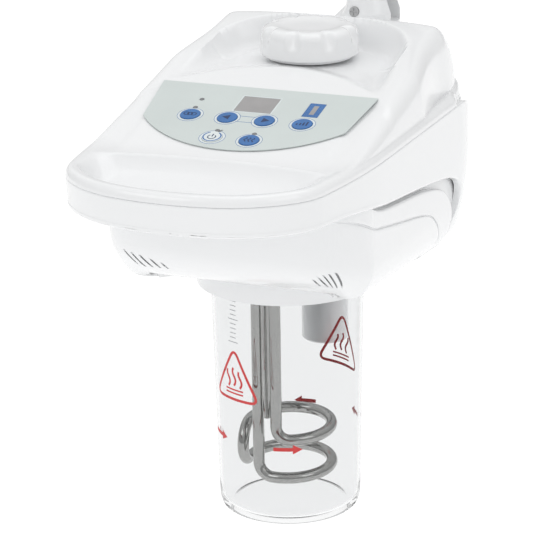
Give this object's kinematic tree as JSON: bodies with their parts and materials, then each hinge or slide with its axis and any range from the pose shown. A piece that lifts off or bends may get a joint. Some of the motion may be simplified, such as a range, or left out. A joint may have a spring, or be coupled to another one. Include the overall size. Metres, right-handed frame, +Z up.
{
  "type": "facial steamer",
  "caption": "Pole-mounted facial steamer head with a clear water jar, heater coil, push-button panel, filler cap and a folding steam arm with a turning nozzle.",
  "frame": {"origin": "centre of the mouth of the pole socket, on the underside of the head", "axes": "+Z up along the pole, -Y towards the user (handle lip, panel and jar), +X to the user's right"},
  "size_m": [0.3124, 0.3929, 0.6362],
  "materials": {
    "white_gloss": "gloss",
    "white_matte": "matte",
    "panel_film": "satin",
    "key_blue": "satin",
    "key_pale": "satin",
    "smoked_window": "gloss",
    "blue_window": "gloss",
    "display": "matte",
    "lens": "gloss",
    "circuit_board": "satin",
    "black_plastic": "matte",
    "transformer_steel": "satin",
    "rubber": "matte",
    "jar_glass": "clear",
    "polished_steel": "polished",
    "brushed_steel": "brushed",
    "duct_plastic": "matte",
    "arm_grey": "satin"
  },
  "bodies": {
    "head": {"top_cover": "white_gloss", "side_band": "white_gloss", "lower_shell": "white_gloss", "jar_collar": "white_gloss", "pole_socket": "white_gloss", "filler_neck": "white_matte", "lamp_holder": "white_matte", "board_posts": "white_matte", "arm_socket": "white_matte", "control_panel": "panel_film", "display_window": "smoked_window", "level_window": "blue_window", "time_display": "display", "level_display": "display", "indicator_lenses": "lens", "panel_board": "circuit_board", "power_board": "circuit_board", "key_switches": "black_plastic", "buzzer": "black_plastic", "relay": "black_plastic", "mains_inlet": "black_plastic", "transformer": "transformer_steel", "water_tube": "rubber", "ozone_lamp": "jar_glass", "heater_tube": "polished_steel", "level_probe": "polished_steel", "heater_terminals": "polished_steel", "heater_base": "brushed_steel", "case_screws": "brushed_steel", "pole_screw": "brushed_steel", "steam_duct": "duct_plastic"},
    "cap": {"filler_cap": "white_gloss"},
    "boot": {"arm_boot": "white_gloss", "boot_pin": "brushed_steel"},
    "lower_arm": {"lower_arm_fork": "white_gloss", "elbow_pin": "white_gloss", "lower_arm_tube": "arm_grey", "lower_arm_foot": "arm_grey"},
    "upper_arm": {"upper_arm_tongue": "white_gloss", "wrist_tongue": "white_gloss", "upper_arm_tube": "arm_grey"},
    "nozzle": {"nozzle_fork": "white_gloss", "nozzle_head": "white_gloss", "wrist_pin": "white_gloss", "aroma_tray": "white_matte"},
    "mouth": {"nozzle_mouth": "white_gloss"},
    "button_ozone": {"button_ozone": "key_blue"},
    "button_time_down": {"button_time_down": "key_blue"},
    "button_time_up": {"button_time_up": "key_blue"},
    "button_intensity": {"button_intensity": "key_blue"},
    "button_vapour": {"button_vapour": "key_blue"},
    "button_power": {"button_power": "key_pale"},
    "jar_ring": {"jar_seal": "rubber"},
    "cap_ring": {"cap_gasket": "rubber"},
    "jar": {"glass_jar": "jar_glass"}
  },
  "joints": [
    {"name": "jar_turn", "type": "hinge", "parent": "head", "child": "jar_ring", "pos_m": [0, -0.073, 0.08], "axis": [0, 0, 1], "range_deg": [0, 25]},
    {"name": "jar_drop", "type": "slide", "parent": "jar_ring", "child": "jar", "axis": [0, 0, -1], "range_m": [0, 0.185]},
    {"name": "cap_turn", "type": "hinge", "parent": "head", "child": "cap_ring", "pos_m": [0, -0.026, 0.2145], "axis": [0, 0, 1], "range_deg": [0, 60]},
    {"name": "cap_lift", "type": "slide", "parent": "cap_ring", "child": "cap", "axis": [0, 0, 1], "range_m": [0, 0.06]},
    {"name": "arm_swivel", "type": "hinge", "parent": "head", "child": "boot", "pos_m": [0, 0.084, 0.212], "axis": [0, 0, 1], "range_deg": [-150, 150]},
    {"name": "arm_tilt", "type": "hinge", "parent": "boot", "child": "lower_arm", "pos_m": [0, 0.084, 0.224], "axis": [0, 1, 0], "range_deg": [-23, 37]},
    {"name": "elbow_tilt", "type": "hinge", "parent": "lower_arm", "child": "upper_arm", "pos_m": [0.10798, 0.084, 0.42708], "axis": [0, 1, 0], "range_deg": [-8, 60]},
    {"name": "nozzle_tilt", "type": "hinge", "parent": "upper_arm", "child": "nozzle", "pos_m": [-0.07744, 0.084, 0.52567], "axis": [0, 1, 0], "range_deg": [-40, 48]},
    {"name": "mouth_turn", "type": "hinge", "parent": "nozzle", "child": "mouth", "pos_m": [-0.16738, 0.084, 0.48933], "axis": [-0.9272, 0, -0.3746], "continuous": true},
    {"name": "press_ozone", "type": "slide", "parent": "head", "child": "button_ozone", "axis": [0, 0.2385, -0.9711], "range_m": [0, 0.0005], "stiffness_N_per_m": 1500, "springref_m": -0.0004},
    {"name": "press_time_down", "type": "slide", "parent": "head", "child": "button_time_down", "axis": [0, 0.2385, -0.9711], "range_m": [0, 0.0005], "stiffness_N_per_m": 1500, "springref_m": -0.0004},
    {"name": "press_time_up", "type": "slide", "parent": "head", "child": "button_time_up", "axis": [0, 0.2385, -0.9711], "range_m": [0, 0.0005], "stiffness_N_per_m": 1500, "springref_m": -0.0004},
    {"name": "press_intensity", "type": "slide", "parent": "head", "child": "button_intensity", "axis": [0, 0.2385, -0.9711], "range_m": [0, 0.0005], "stiffness_N_per_m": 1500, "springref_m": -0.0004},
    {"name": "press_power", "type": "slide", "parent": "head", "child": "button_power", "axis": [0, 0.2385, -0.9711], "range_m": [0, 0.0005], "stiffness_N_per_m": 1500, "springref_m": -0.0004},
    {"name": "press_vapour", "type": "slide", "parent": "head", "child": "button_vapour", "axis": [0, 0.2385, -0.9711], "range_m": [0, 0.0005], "stiffness_N_per_m": 1500, "springref_m": -0.0004}
  ]
}
